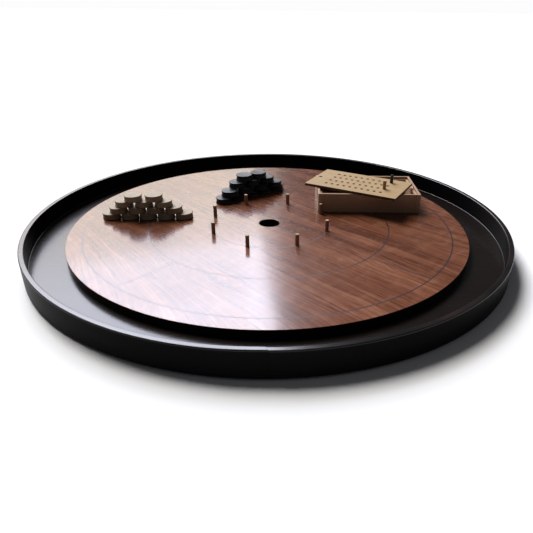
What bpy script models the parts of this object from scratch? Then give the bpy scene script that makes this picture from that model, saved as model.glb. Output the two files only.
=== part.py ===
"""Crokinole board with its pegs, playing discs, score box and pegboard lid.

Units are metres, +Z is up. The origin is on the table, under the board's centre.
The board's front, where the rim's ends are joined, faces -Y.
"""
import math

import bmesh
import bpy
from mathutils import Matrix

# --- Clearances --------------------------------------------------------------
CLEARANCE = 0.0003          # between two pieces that touch or fit into each other
LID_CLEARANCE = 0.0005      # round the lid when it lies in its rebate

# --- Board -------------------------------------------------------------------
PLAYING_RADIUS = 0.3302     # 26 inch playing surface
DITCH_WIDTH = 0.0545        # gutter between playing surface and rim
RIM_WALL = 0.0080
RIM_HEIGHT = 0.0380
RIM_EDGE = 0.0015           # bevel on the rim's top edges
JOINT_GAP = 0.0004          # glue line between the rim's two ends
JOINT_SLANT = -61.0         # degrees from the rim's tangent to the glue line
JOINT_ANGLE = -88.5         # place of the joint round the rim, degrees from +X

BASE_THICKNESS = 0.0090
CORE_THICKNESS = 0.0120
VENEER_THICKNESS = 0.0008
CENTRE_HOLE_RADIUS = 0.0177

FOOT_RADIUS = 0.0150
FOOT_HEIGHT = 0.0030
FOOT_CIRCLE_RADIUS = 0.3000
FOOT_COUNT = 4

SCREW_COUNT = 4
SCREW_CIRCLE_RADIUS = 0.2400
SCREW_LENGTH = 0.0160
SCREW_SHANK_RADIUS = 0.0020
SCREW_HEAD_RADIUS = 0.0040
SCREW_POINT = 0.0030        # length of the tapered end

# --- Pegs round the centre hole ----------------------------------------------
PEG_COUNT = 8
PEG_CIRCLE_RADIUS = 0.1016  # 8 inch circle
PEG_FIRST_ANGLE = 27.2      # degrees from +X
PEG_RADIUS = 0.0032
PEG_HEIGHT = 0.0190         # above the playing surface
PEG_SEAT = 0.0080           # below the playing surface
PEG_CHAMFER = 0.0005

# --- Discs and their two piles -----------------------------------------------
DISC_RADIUS = 0.0155
DISC_THICKNESS = 0.0101
DISC_EDGE = 0.0012
# A tier: number of discs, gap between neighbours, turn in degrees, and the
# tier's shift from the pile's centre along X and Y.
LIGHT_TIERS = (
    (5, 0.0004, 2.5, 0.0000, 0.0000),
    (4, 0.0007, 3.3, -0.0023, 0.0008),
    (3, 0.0031, 1.5, -0.0058, 0.0028),
    (2, 0.0041, 5.4, -0.0048, 0.0010),
)
DARK_TIERS = (
    (5, 0.0004, 40.8, 0.0000, 0.0000),
    (4, 0.0036, 37.4, 0.0033, 0.0003),
    (3, 0.0013, 33.0, 0.0018, 0.0069),
    (2, 0.0006, 33.6, 0.0011, 0.0098),
)
LIGHT_PILE_ANGLE = 174.7    # direction of the pile from the board's centre
LIGHT_PILE_INSET = 0.0020   # inward from midway between pegs and edge
DARK_PILE_ANGLE = 106.1
DARK_PILE_STANDOFF = 0.0457  # outward from the peg circle

# --- Score box and its lid ---------------------------------------------------
BOX_WIDTH = 0.1830
BOX_DEPTH = 0.1100
BOX_HEIGHT = 0.0345
BOX_WALL = 0.0080
BOX_LIP = 0.0040            # what is left of the wall beside the lid's rebate
BOX_FLOOR = 0.0040
BOX_LEFT = 0.0860           # left outer face, from the board's centre
BOX_FRONT = 0.0541          # front outer face, from the board's centre

LID_THICKNESS = 0.0045
LID_TURN = -28.2            # the lid lies askew, degrees
LID_SHIFT_X = -0.0143       # lid's centre from the box's centre
LID_SHIFT_Y = -0.0052
SCORE_COLUMNS = 10
SCORE_ROWS = 4
SCORE_COLUMN_PITCH = 0.0117
SCORE_ROW_PITCH = 0.0202
SCORE_PEG_RADIUS = 0.0032   # above the lid
SCORE_STUB_RADIUS = 0.0020  # in its hole
SCORE_PEG_HEIGHT = 0.0155   # above the lid
SCORE_HOLE_DEPTH = 0.0034
PULL_HOLE_RADIUS = 0.0026   # through the lid, to lift it with
PULL_HOLE_INSET = 0.0087    # from the lid's left edge
LIGHT_PEG_HOLE = (9, 1)     # column from the left, row from the front
DARK_PEG_HOLE = (9, 3)

# --- Facets ------------------------------------------------------------------
BOARD_SIDES = 96
HOLE_SIDES = 32
DISC_SIDES = 24
PEG_SIDES = 12
SMALL_SIDES = 8 
CUT_MARGIN = 0.0020         # how far a cutter runs past the face it opens

# --- Heights worked out from the stack ---------------------------------------
BASE_BOTTOM = FOOT_HEIGHT + CLEARANCE
BASE_TOP = BASE_BOTTOM + BASE_THICKNESS
CORE_BOTTOM = BASE_TOP + CLEARANCE
CORE_TOP = CORE_BOTTOM + CORE_THICKNESS
VENEER_BOTTOM = CORE_TOP + CLEARANCE
SURFACE = VENEER_BOTTOM + VENEER_THICKNESS
BOX_BOTTOM = SURFACE + CLEARANCE
BOX_TOP = BOX_BOTTOM + BOX_HEIGHT
LID_BOTTOM = BOX_TOP + CLEARANCE
LID_TOP = LID_BOTTOM + LID_THICKNESS

RIM_INNER_RADIUS = PLAYING_RADIUS + DITCH_WIDTH
RIM_OUTER_RADIUS = RIM_INNER_RADIUS + RIM_WALL
LID_MARGIN = BOX_LIP + LID_CLEARANCE
LID_WIDTH = BOX_WIDTH - 2 * LID_MARGIN
LID_DEPTH = BOX_DEPTH - 2 * LID_MARGIN

SMOOTH_ANGLE = math.radians(35)


def clear_scene():
    """Remove whatever the file holds."""
    for obj in list(bpy.data.objects):
        bpy.data.objects.remove(obj, do_unlink=True)


def new_collection(name):
    """Make a collection under the scene."""
    group = bpy.data.collections.new(name)
    bpy.context.scene.collection.children.link(group)
    return group


clear_scene()
BOARD = new_collection("crokinole_board")
CUTTERS = new_collection("cutters")


def finish(name, color, roughness, metallic=0.0):
    """Make a Principled material."""
    material = bpy.data.materials.new(name)
    material.use_nodes = True
    shader = material.node_tree.nodes["Principled BSDF"]
    shader.inputs["Base Color"].default_value = (*color, 1.0)
    shader.inputs["Roughness"].default_value = roughness
    shader.inputs["Metallic"].default_value = metallic
    return material


BLACK_LACQUER = finish("black_lacquer", (0.012, 0.011, 0.011), 0.30)
RED_BROWN_VENEER = finish("red_brown_veneer", (0.30, 0.115, 0.055), 0.18)
PEG_WOOD = finish("peg_wood", (0.45, 0.25, 0.12), 0.55)
LIGHT_WOOD = finish("light_disc_wood", (0.62, 0.47, 0.30), 0.45)
DARK_WOOD = finish("dark_disc_stain", (0.015, 0.017, 0.020), 0.40)
BOX_WOOD = finish("box_wood", (0.68, 0.50, 0.30), 0.50)
LID_WOOD = finish("lid_wood", (0.72, 0.56, 0.33), 0.50)
RUBBER = finish("foot_rubber", (0.030, 0.030, 0.030), 0.85)
STEEL = finish("screw_steel", (0.55, 0.52, 0.45), 0.35, 1.0)


def add_piece(name, mesh, material, parent=None, place=(0.0, 0.0, 0.0), turn=0.0):
    """Put a mesh into the board's collection as one named piece."""
    piece = bpy.data.objects.new(name, mesh)
    BOARD.objects.link(piece)
    if not mesh.materials:
        mesh.materials.append(material)
    piece.location = place
    piece.rotation_euler = (0.0, 0.0, math.radians(turn))
    piece.parent = parent
    return piece


def add_cutter(name, mesh):
    """Put a mesh into the cutters' collection, out of renders."""
    cutter = bpy.data.objects.new(name, mesh)
    CUTTERS.objects.link(cutter)
    cutter.hide_render = True
    cutter.display_type = "WIRE"
    return cutter


def add_empty(name, place, turn=0.0):
    """Make an empty that pieces are parented to."""
    empty = bpy.data.objects.new(name, None)
    BOARD.objects.link(empty)
    empty.location = place
    empty.rotation_euler = (0.0, 0.0, math.radians(turn))
    return empty


def shade(mesh):
    """Smooth the round faces and keep the edges crisp."""
    mesh.shade_smooth()
    mesh.set_sharp_from_angle(angle=SMOOTH_ANGLE)


def cylinders_mesh(name, places, radius, low, high, sides):
    """Upright cylinders from low to high, one at each (x, y)."""
    form = bmesh.new()
    for x, y in places:
        bmesh.ops.create_cone(
            form,
            cap_ends=True,
            segments=sides,
            radius1=radius,
            radius2=radius,
            depth=high - low,
            matrix=Matrix.Translation((x, y, (low + high) / 2)),
        )
    mesh = bpy.data.meshes.new(name)
    form.to_mesh(mesh)
    form.free()
    shade(mesh)
    return mesh


def block_mesh(name, low, high):
    """A box between two corners."""
    size = [b - a for a, b in zip(low, high)]
    middle = [(a + b) / 2 for a, b in zip(low, high)]
    form = bmesh.new()
    bmesh.ops.create_cube(form, size=1.0)
    bmesh.ops.scale(form, vec=size, verts=form.verts)
    bmesh.ops.translate(form, vec=middle, verts=form.verts)
    mesh = bpy.data.meshes.new(name)
    form.to_mesh(mesh)
    form.free()
    return mesh


def profile_mesh(name, points, closed):
    """Edges through (radius, height) points in the XZ plane."""
    last = len(points) if closed else len(points) - 1
    edges = [(i, (i + 1) % len(points)) for i in range(last)]
    mesh = bpy.data.meshes.new(name)
    mesh.from_pydata([(r, 0.0, z) for r, z in points], edges, [])
    return mesh


def add_screw_turn(obj, sides):
    """Turn a profile once round Z."""
    turn = obj.modifiers.new("turn", "SCREW")
    turn.axis = "Z"
    turn.angle = math.tau
    turn.steps = sides
    turn.render_steps = sides
    turn.use_merge_vertices = True
    turn.merge_threshold = 0.00005
    turn.use_smooth_shade = True
    return turn


def turned_mesh(name, points, sides, closed=False):
    """The mesh of a turned profile, with its modifier applied."""
    guide = bpy.data.objects.new(name + "_guide", profile_mesh(name + "_profile", points, closed))
    CUTTERS.objects.link(guide)
    add_screw_turn(guide, sides)
    evaluated = guide.evaluated_get(bpy.context.evaluated_depsgraph_get())
    mesh = bpy.data.meshes.new_from_object(evaluated)
    mesh.name = name
    bpy.data.objects.remove(guide, do_unlink=True)
    shade(mesh)
    return mesh


def cut(piece, cutter):
    """Take the cutter's shape out of the piece."""
    step = piece.modifiers.new("cut_" + cutter.name, "BOOLEAN")
    step.operation = "DIFFERENCE"
    step.solver = "EXACT"
    step.object = cutter


def ring_places(count, radius, first_angle):
    """Evenly spaced points round the board's centre."""
    places = []
    for step in range(count):
        angle = math.radians(first_angle + 360.0 * step / count)
        places.append((radius * math.cos(angle), radius * math.sin(angle)))
    return places


def make_rim():
    """Bent strip round the board, its ends joined by a slanted glue line."""
    inner, outer = RIM_INNER_RADIUS, RIM_OUTER_RADIUS
    bottom, top = BASE_BOTTOM, BASE_BOTTOM + RIM_HEIGHT
    points = [
        (outer - RIM_EDGE, top),
        (outer, top - RIM_EDGE),
        (outer, bottom),
        (inner, bottom),
        (inner, top - RIM_EDGE),
        (inner + RIM_EDGE, top),
    ]
    rim = add_piece("outer_rim", turned_mesh("outer_rim", points, BOARD_SIDES, closed=True), BLACK_LACQUER)
    reach = RIM_WALL + CUT_MARGIN
    slit = block_mesh(
        "joint_slit",
        (-reach, -JOINT_GAP / 2, bottom - CUT_MARGIN),
        (reach, JOINT_GAP / 2, top + CUT_MARGIN),
    )
    cutter = add_cutter("joint_slit", slit)
    angle = math.radians(JOINT_ANGLE)
    middle = (inner + outer) / 2
    cutter.location = (middle * math.cos(angle), middle * math.sin(angle), 0.0)
    cutter.rotation_euler = (0.0, 0.0, angle + math.pi / 2 + math.radians(JOINT_SLANT))
    cut(rim, cutter)


def screw_points(grow):
    """Profile of a countersunk screw from its point down to its head.

    grow is added all round, which turns the screw into the hole for it.
    """
    head = SCREW_HEAD_RADIUS + grow
    shank = SCREW_SHANK_RADIUS + grow
    bottom = BASE_BOTTOM + CLEARANCE
    cone_top = bottom + SCREW_HEAD_RADIUS - SCREW_SHANK_RADIUS
    tip = bottom + SCREW_LENGTH
    if grow:
        tip += grow
        return [(0.0, tip), (shank, tip), (shank, cone_top), (head, bottom), (head, bottom - CUT_MARGIN),
                (0.0, bottom - CUT_MARGIN)]
    return [(0.0, tip), (shank, tip - SCREW_POINT), (shank, cone_top), (head, bottom), (0.0, bottom)]


def make_board():
    """Base panel, playing disc, veneer, screws, feet and pegs."""
    origin = [(0.0, 0.0)]
    pegs = ring_places(PEG_COUNT, PEG_CIRCLE_RADIUS, PEG_FIRST_ANGLE)
    screws = ring_places(SCREW_COUNT, SCREW_CIRCLE_RADIUS, 180.0 / SCREW_COUNT)
    feet = ring_places(FOOT_COUNT, FOOT_CIRCLE_RADIUS, 0.0)

    base_radius = RIM_INNER_RADIUS - CLEARANCE
    base = add_piece(
        "base_panel",
        cylinders_mesh("base_panel", origin, base_radius, BASE_BOTTOM, BASE_TOP, BOARD_SIDES),
        BLACK_LACQUER,
    )
    core = add_piece(
        "playing_core",
        cylinders_mesh("playing_core", origin, PLAYING_RADIUS, CORE_BOTTOM, CORE_TOP, BOARD_SIDES),
        BLACK_LACQUER,
    )
    veneer = add_piece(
        "playing_veneer",
        cylinders_mesh("playing_veneer", origin, PLAYING_RADIUS, VENEER_BOTTOM, SURFACE, BOARD_SIDES),
        RED_BROWN_VENEER,
    )

    centre_hole = add_cutter(
        "centre_hole",
        cylinders_mesh(
            "centre_hole", origin, CENTRE_HOLE_RADIUS, CORE_BOTTOM - CUT_MARGIN, SURFACE + CUT_MARGIN, HOLE_SIDES
        ),
    )
    peg_bottom = SURFACE - PEG_SEAT
    peg_bores = add_cutter(
        "peg_bores",
        cylinders_mesh("peg_bores", pegs, PEG_RADIUS + CLEARANCE, peg_bottom, SURFACE + CUT_MARGIN, PEG_SIDES),
    )
    for piece in (core, veneer):
        cut(piece, centre_hole)
        cut(piece, peg_bores)

    screw_mesh = turned_mesh("screw", screw_points(0.0), SMALL_SIDES)
    bore_mesh = turned_mesh("screw_bore", screw_points(CLEARANCE), SMALL_SIDES)
    for index, (x, y) in enumerate(screws, 1):
        add_piece(f"assembly_screw_{index}", screw_mesh, STEEL, place=(x, y, 0.0))
        bore = add_cutter(f"screw_bore_{index}", bore_mesh)
        bore.location = (x, y, 0.0)
        cut(base, bore)
        cut(core, bore)

    foot_mesh = cylinders_mesh("foot", origin, FOOT_RADIUS, 0.0, FOOT_HEIGHT, DISC_SIDES)
    for index, (x, y) in enumerate(feet, 1):
        add_piece(f"foot_{index}", foot_mesh, RUBBER, place=(x, y, 0.0))

    low = PEG_SEAT - CLEARANCE
    peg_points = [
        (0.0, PEG_HEIGHT),
        (PEG_RADIUS - PEG_CHAMFER, PEG_HEIGHT),
        (PEG_RADIUS, PEG_HEIGHT - PEG_CHAMFER),
        (PEG_RADIUS, -low),
        (0.0, -low),
    ]
    peg_mesh = turned_mesh("peg", peg_points, PEG_SIDES)
    for index, (x, y) in enumerate(pegs, 1):
        add_piece(f"peg_{index}", peg_mesh, PEG_WOOD, place=(x, y, SURFACE))


def disc_mesh(name):
    """A playing disc with bevelled edges, standing on z = 0."""
    points = [
        (0.0, DISC_THICKNESS),
        (DISC_RADIUS - DISC_EDGE, DISC_THICKNESS),
        (DISC_RADIUS, DISC_THICKNESS - DISC_EDGE),
        (DISC_RADIUS, DISC_EDGE),
        (DISC_RADIUS - DISC_EDGE, 0.0),
        (0.0, 0.0),
    ]
    return turned_mesh(name, points, DISC_SIDES)


def make_pile(name, material, tiers, distance, direction):
    """Stack discs like bricks, tier on tier, at a place given from the board's centre."""
    mesh = disc_mesh(name)
    angle = math.radians(direction)
    centre_x = distance * math.cos(angle)
    centre_y = distance * math.sin(angle)
    number = 0
    for level, (count, gap, turn, shift_x, shift_y) in enumerate(tiers):
        pitch = 2 * DISC_RADIUS + gap
        height = SURFACE + CLEARANCE + level * (DISC_THICKNESS + CLEARANCE)
        along_x = math.cos(math.radians(turn))
        along_y = math.sin(math.radians(turn))
        for column in range(count):
            offset = (column - (count - 1) / 2) * pitch
            number += 1
            place = (
                centre_x + shift_x + offset * along_x,
                centre_y + shift_y + offset * along_y,
                height,
            )
            add_piece(f"{name}_{number}", mesh, material, place=place, turn=turn)


def make_box():
    """Open score box: two end walls run its full depth, front and back fit between them."""
    box = add_empty("score_box_origin", (BOX_LEFT, BOX_FRONT, BOX_BOTTOM))
    inside_left = BOX_WALL + CLEARANCE
    inside_right = BOX_WIDTH - BOX_WALL - CLEARANCE
    walls = {
        "box_left": ((0.0, 0.0), (BOX_WALL, BOX_DEPTH)),
        "box_right": ((BOX_WIDTH - BOX_WALL, 0.0), (BOX_WIDTH, BOX_DEPTH)),
        "box_front": ((inside_left, 0.0), (inside_right, BOX_WALL)),
        "box_back": ((inside_left, BOX_DEPTH - BOX_WALL), (inside_right, BOX_DEPTH)),
    }
    rebate = add_cutter(
        "lid_rebate",
        block_mesh(
            "lid_rebate",
            (BOX_LIP, BOX_LIP, BOX_HEIGHT - LID_THICKNESS),
            (BOX_WIDTH - BOX_LIP, BOX_DEPTH - BOX_LIP, BOX_HEIGHT + CUT_MARGIN),
        ),
    )
    rebate.parent = box
    for name, (low, high) in walls.items():
        wall = add_piece(name, block_mesh(name, (*low, 0.0), (*high, BOX_HEIGHT)), BOX_WOOD, parent=box)
        cut(wall, rebate)
    floor_edge = BOX_WALL + CLEARANCE
    floor = block_mesh(
        "box_floor",
        (floor_edge, floor_edge, 0.0),
        (BOX_WIDTH - floor_edge, BOX_DEPTH - floor_edge, BOX_FLOOR),
    )
    add_piece("box_floor", floor, BOX_WOOD, parent=box)


def score_hole(column, row):
    """Place of one score hole from the lid's centre."""
    x = (column - (SCORE_COLUMNS - 1) / 2) * SCORE_COLUMN_PITCH
    y = (row - (SCORE_ROWS - 1) / 2) * SCORE_ROW_PITCH
    return x, y


def make_lid():
    """Pegboard lid, laid askew on the box, with two score pegs standing in it."""
    lid_place = (
        BOX_LEFT + BOX_WIDTH / 2 + LID_SHIFT_X,
        BOX_FRONT + BOX_DEPTH / 2 + LID_SHIFT_Y,
        LID_BOTTOM,
    )
    lid_origin = add_empty("lid_origin", lid_place, LID_TURN)
    half_width, half_depth = LID_WIDTH / 2, LID_DEPTH / 2
    board = block_mesh("box_lid", (-half_width, -half_depth, 0.0), (half_width, half_depth, LID_THICKNESS))
    lid = add_piece("box_lid", board, LID_WOOD, parent=lid_origin)

    holes = [score_hole(column, row) for column in range(SCORE_COLUMNS) for row in range(SCORE_ROWS)]
    hole_radius = SCORE_STUB_RADIUS + CLEARANCE
    hole_floor = LID_THICKNESS - SCORE_HOLE_DEPTH
    top = LID_THICKNESS + CUT_MARGIN
    score_holes = add_cutter(
        "score_holes", cylinders_mesh("score_holes", holes, hole_radius, hole_floor, top, SMALL_SIDES)
    )
    pull_place = [(PULL_HOLE_INSET - half_width, 0.0)]
    pull_hole = add_cutter(
        "pull_hole", cylinders_mesh("pull_hole", pull_place, PULL_HOLE_RADIUS, -CUT_MARGIN, top, SMALL_SIDES)
    )
    for cutter in (score_holes, pull_hole):
        cutter.parent = lid_origin
        cut(lid, cutter)

    low = SCORE_HOLE_DEPTH - CLEARANCE
    peg_points = [
        (0.0, SCORE_PEG_HEIGHT),
        (SCORE_PEG_RADIUS, SCORE_PEG_HEIGHT),
        (SCORE_PEG_RADIUS, CLEARANCE),
        (SCORE_STUB_RADIUS, CLEARANCE),
        (SCORE_STUB_RADIUS, -low),
        (0.0, -low),
    ]
    for name, hole, material in (
        ("score_peg_light", LIGHT_PEG_HOLE, PEG_WOOD),
        ("score_peg_dark", DARK_PEG_HOLE, DARK_WOOD),
    ):
        x, y = score_hole(*hole)
        mesh = turned_mesh(name, peg_points, SMALL_SIDES)
        add_piece(name, mesh, material, parent=lid_origin, place=(x, y, LID_THICKNESS))


make_rim()
make_board()
make_pile(
    "light_disc",
    LIGHT_WOOD,
    LIGHT_TIERS,
    (PEG_CIRCLE_RADIUS + PLAYING_RADIUS) / 2 - LIGHT_PILE_INSET,
    LIGHT_PILE_ANGLE,
)
make_pile("dark_disc", DARK_WOOD, DARK_TIERS, PEG_CIRCLE_RADIUS + DARK_PILE_STANDOFF, DARK_PILE_ANGLE)
make_box()
make_lid()
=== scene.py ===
# %% [markdown]
# # A crokinole board with its discs, pegs and score box
#
# Crokinole is played on a round wooden board. Two players or two pairs flick wooden discs from the outer
# ring towards a shallow hole in the middle, past eight pegs. A ditch round the playing surface catches the
# discs that fall off, and a small box with a pegboard lid keeps the score.
#
# The lesson builds the board as a maker would: piece by piece, each with its own finish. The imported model
# gives every piece its place and size, and each new surface is worked out with numpy as whole arrays.
# All lengths are in metres, +Z is up, and the board's front faces -Y.

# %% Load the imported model
import math

import bpy
import numpy as np
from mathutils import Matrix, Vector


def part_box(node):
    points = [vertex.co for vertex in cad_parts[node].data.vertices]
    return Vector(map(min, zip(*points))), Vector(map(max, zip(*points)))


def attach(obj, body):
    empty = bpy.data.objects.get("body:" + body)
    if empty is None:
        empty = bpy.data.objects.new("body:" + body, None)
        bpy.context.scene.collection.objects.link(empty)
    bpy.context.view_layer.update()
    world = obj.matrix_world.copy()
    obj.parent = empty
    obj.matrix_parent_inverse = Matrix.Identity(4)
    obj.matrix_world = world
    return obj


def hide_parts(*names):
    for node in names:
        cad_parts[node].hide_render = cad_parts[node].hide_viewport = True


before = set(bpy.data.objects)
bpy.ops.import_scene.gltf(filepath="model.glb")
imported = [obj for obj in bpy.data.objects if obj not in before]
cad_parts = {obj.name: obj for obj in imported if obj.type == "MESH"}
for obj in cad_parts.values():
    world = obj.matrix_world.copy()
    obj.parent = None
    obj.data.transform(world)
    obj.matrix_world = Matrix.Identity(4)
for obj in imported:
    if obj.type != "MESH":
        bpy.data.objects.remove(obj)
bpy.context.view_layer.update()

# %% [markdown]
# ## Outlines
#
# A wooden piece has no perfectly sharp corner: sandpaper takes it off. A chamfer would be quicker to write,
# but a small arc catches the light as a real sanded edge does. So each piece starts as an outline whose
# corners are replaced by arcs, and a few radii serve the whole board, from a knife's cut to an edge that was
# sanded until it feels soft.

# %% Round the corners of an outline
TINY = 1e-7
KNIFE_CUT, CRISP, EASED, BROKEN, SOFT = 0.0001, 0.0003, 0.0004, 0.0006, 0.0008


def rounded(corners, radii, steps=5):
    """Replaces each corner of a closed outline by an arc.

    With a and b the directions from a corner to its neighbours and h half the angle between them, the
    arc's centre lies radius / sin(h) from the corner along a + b, and the arc starts and ends
    radius / tan(h) from the corner. The points between are the two end spokes, blended by angle.
    """
    corner = np.array(corners, float)
    radius = np.broadcast_to(np.array(radii, float), len(corner))[:, None]
    a = np.roll(corner, 1, axis=0) - corner
    b = np.roll(corner, -1, axis=0) - corner
    a /= np.linalg.norm(a, axis=1, keepdims=True)
    b /= np.linalg.norm(b, axis=1, keepdims=True)
    half = np.arccos(np.clip((a * b).sum(1, keepdims=True), -1, 1)) / 2
    middle = (a + b) / np.linalg.norm(a + b, axis=1, keepdims=True)
    centre = corner + middle * radius / np.sin(half)
    start = (corner + a * radius / np.tan(half) - centre)[:, None]
    end = (corner + b * radius / np.tan(half) - centre)[:, None]
    sweep = (math.pi - 2 * half)[:, None]
    share = np.linspace(0, 1, steps + 1)[None, :, None]
    spoke = (np.sin((1 - share) * sweep) * start + np.sin(share * sweep) * end) / np.sin(sweep)
    points = (centre[:, None] + spoke).reshape(-1, 2)
    kept = np.linalg.norm(points - np.roll(points, 1, axis=0), axis=1) > TINY
    return points[kept]


print("a rounded square has", len(rounded([(0, 0), (1, 0), (1, 1), (0, 1)], 0.1)), "points")

# %% [markdown]
# ## From numbers to a mesh
#
# A grid of points becomes a mesh when each point is joined to the next one along and the next one across.
# A lathe does the same thing with a profile: it carries it once round an axis. Blender's Screw modifier
# could turn the profiles, but with the arrays at hand the lesson can also mark each point, for example as
# end grain or as an edge that hands rub, and the finishes can use those marks later.

# %% Join a grid into faces


def grid_faces(rows, columns, wrap_rows, wrap_columns):
    """Four-sided faces (i, j), (i + 1, j), (i + 1, j + 1), (i, j + 1) of a grid, numbered row by row."""
    i = np.arange(rows if wrap_rows else rows - 1)[:, None]
    j = np.arange(columns if wrap_columns else columns - 1)[None, :]
    i_next = (i + 1) % rows
    j_next = (j + 1) % columns
    corners = [i * columns + j, i_next * columns + j, i_next * columns + j_next, i * columns + j_next]
    return np.stack(np.broadcast_arrays(*corners), axis=-1).reshape(-1, 4)


def make_piece(name, points, faces):
    """Makes an object whose mesh holds the points, in world coordinates."""
    mesh = bpy.data.meshes.new(name)
    mesh.from_pydata(points.reshape(-1, 3).tolist(), [], faces)
    piece = bpy.data.objects.new(name, mesh)
    bpy.context.scene.collection.objects.link(piece)
    return piece


print("a closed ring of 4 by 2 points has", len(grid_faces(4, 2, True, True)), "faces")

# %% Turn a profile on the lathe


def turned(name, profile, sides, places=((0.0, 0.0),)):
    """Turns a profile of (radius, height) points round an upright axis, once at each (x, y) place.

    Point (i, j) lies at x + r_j cos(a_i), y + r_j sin(a_i) and height h_j, with a_i = full turn * i / sides.
    A profile that starts and ends on the axis closes in two poles. Any other one closes on itself.
    """
    radius, height = np.asarray(profile, float).T
    poles = radius[0] < TINY
    if poles:
        bottom_height, top_height = height[0], height[-1]
        radius, height = radius[1:-1], height[1:-1]
    angle = np.arange(sides)[:, None] * math.tau / sides
    shape = np.broadcast_arrays(radius * np.cos(angle), radius * np.sin(angle), height)
    points = np.stack(shape, axis=-1).reshape(-1, 3)
    columns = len(radius)
    faces = grid_faces(sides, columns, True, not poles)
    fans = np.empty((0, 3), int)
    if poles:
        first = len(points)
        points = np.vstack([points, [(0, 0, bottom_height), (0, 0, top_height)]])
        i = np.arange(sides)
        i_next = (i + 1) % sides
        under = [np.full(sides, first), i_next * columns, i * columns]
        over = [i * columns + columns - 1, i_next * columns + columns - 1, np.full(sides, first + 1)]
        fans = np.vstack([np.stack(under, axis=1), np.stack(over, axis=1)])
    place = np.zeros((len(places), 1, 3))
    place[:, 0, :2] = places
    offset = (np.arange(len(places)) * len(points))[:, None, None]
    quads = (faces + offset).reshape(-1, 4).tolist()
    threes = (fans + offset).reshape(-1, 3).tolist()
    return make_piece(name, points + place, quads + threes)


# %% Measure, mark, cut and smooth
SMOOTH_ANGLE = math.radians(32)


def positions(piece):
    """The piece's points as an (n, 3) array."""
    found = np.empty(len(piece.data.vertices) * 3, np.float32)
    piece.data.vertices.foreach_get("co", found)
    return found.reshape(-1, 3).astype(float)


def volume(piece):
    """Sum of a . (b x c) / 6 over the triangles: positive when the faces point outwards."""
    piece.data.calc_loop_triangles()
    corners = np.empty(len(piece.data.loop_triangles) * 3, np.int32)
    piece.data.loop_triangles.foreach_get("vertices", corners)
    a, b, c = np.moveaxis(positions(piece)[corners].reshape(-1, 3, 3), 1, 0)
    return float((a * np.cross(b, c)).sum() / 6)


def mark(piece, name, values):
    """Stores one number or one vector at each point, for a finish to read."""
    values = np.asarray(values, np.float32)
    kind, field = ("FLOAT", "value") if values.ndim == 1 else ("FLOAT_VECTOR", "vector")
    layer = piece.data.attributes.new(name, kind, "POINT")
    layer.data.foreach_set(field, np.ascontiguousarray(values).ravel())


def apply_modifiers(piece):
    """Replaces the piece's mesh by what its modifiers make of it."""
    evaluated = piece.evaluated_get(bpy.context.evaluated_depsgraph_get())
    mesh = bpy.data.meshes.new_from_object(evaluated)
    piece.modifiers.clear()
    piece.data = mesh


def settle(piece):
    """Applies the piece's modifiers, smooths its round faces and keeps its edges crisp.

    A large flat face beside a narrow rounded edge keeps the flat face's normal, because each face counts
    by its area. Without that the gloss on the flat face would bend towards the edge.
    """
    if piece.modifiers:
        apply_modifiers(piece)
    piece.data.shade_smooth()
    piece.data.set_sharp_from_angle(angle=SMOOTH_ANGLE)
    even = piece.modifiers.new("even", "WEIGHTED_NORMAL")
    even.mode = "FACE_AREA"
    even.keep_sharp = True
    apply_modifiers(piece)
    return piece


def cut(piece, *cutters):
    """Takes the cutters' shapes out of the piece and removes the cutters."""
    for cutter in cutters:
        bite = piece.modifiers.new("cut", "BOOLEAN")
        bite.operation = "DIFFERENCE"
        bite.solver = "EXACT"
        bite.material_mode = "TRANSFER"
        bite.object = cutter
    settle(piece)
    for cutter in cutters:
        bpy.data.objects.remove(cutter)
    return piece


def stand_for(piece, node, body):
    """The piece takes a CAD node's place and moves with its body."""
    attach(piece, body)
    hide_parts(node)
    print(f"{piece.name}: {len(piece.data.polygons)} faces, {volume(piece) * 1e6:.2f} cm3")


# %% [markdown]
# ## A small language for shaders
#
# Wood, lacquer and ink are sums and products of simple patterns. Wiring dozens of Math nodes by hand hides
# the idea, so one class stands for a socket: `1 - mask` or `rings * 0.4` adds the Math node that does it.
# Every other node comes from `node`, which sets the node's own settings first and then its sockets.

# %% Sockets that can be added and multiplied


class Wire:
    """A shader socket that Python's operators combine through Math nodes."""

    def __init__(self, tree, socket=None):
        self.tree = tree
        self.socket = socket

    def node(self, kind, settings=None, sockets=None, output=0):
        """Adds a node: its settings, then the values or wires of its sockets. Returns one output."""
        made = self.tree.nodes.new(kind)
        for key, value in (settings or {}).items():
            if key == "stops":
                ramp = made.color_ramp
                while len(ramp.elements) < len(value):
                    ramp.elements.new(0.5)
                for element, (place, colour) in zip(ramp.elements, value):
                    element.position = place
                    element.color = (*colour, 1.0)
            else:
                setattr(made, key, value)
        for key, value in (sockets or {}).items():
            if isinstance(value, Wire):
                self.tree.links.new(value.socket, made.inputs[key])
            else:
                made.inputs[key].default_value = value
        return Wire(self.tree, made.outputs[output] if made.outputs else None)

    def also(self, output):
        """Another output of the node that this wire leaves."""
        return Wire(self.tree, self.socket.node.outputs[output])

    def math(self, operation, *values):
        """A Math node on the given values or wires."""
        return self.node("ShaderNodeMath", {"operation": operation}, dict(enumerate(values)))

    def __add__(self, other):
        return self.math("ADD", self, other)

    def __sub__(self, other):
        return self.math("SUBTRACT", self, other)

    def __rsub__(self, other):
        return self.math("SUBTRACT", other, self)

    def __mul__(self, other):
        return self.math("MULTIPLY", self, other)

    def __truediv__(self, other):
        return self.math("DIVIDE", self, other)

    def __rtruediv__(self, other):
        return self.math("DIVIDE", other, self)

    __radd__ = __add__
    __rmul__ = __mul__


# %% Helpers for patterns
MIX_FACTOR, MIX_A, MIX_B, MIX_RESULT = 0, 6, 7, 2


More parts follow.
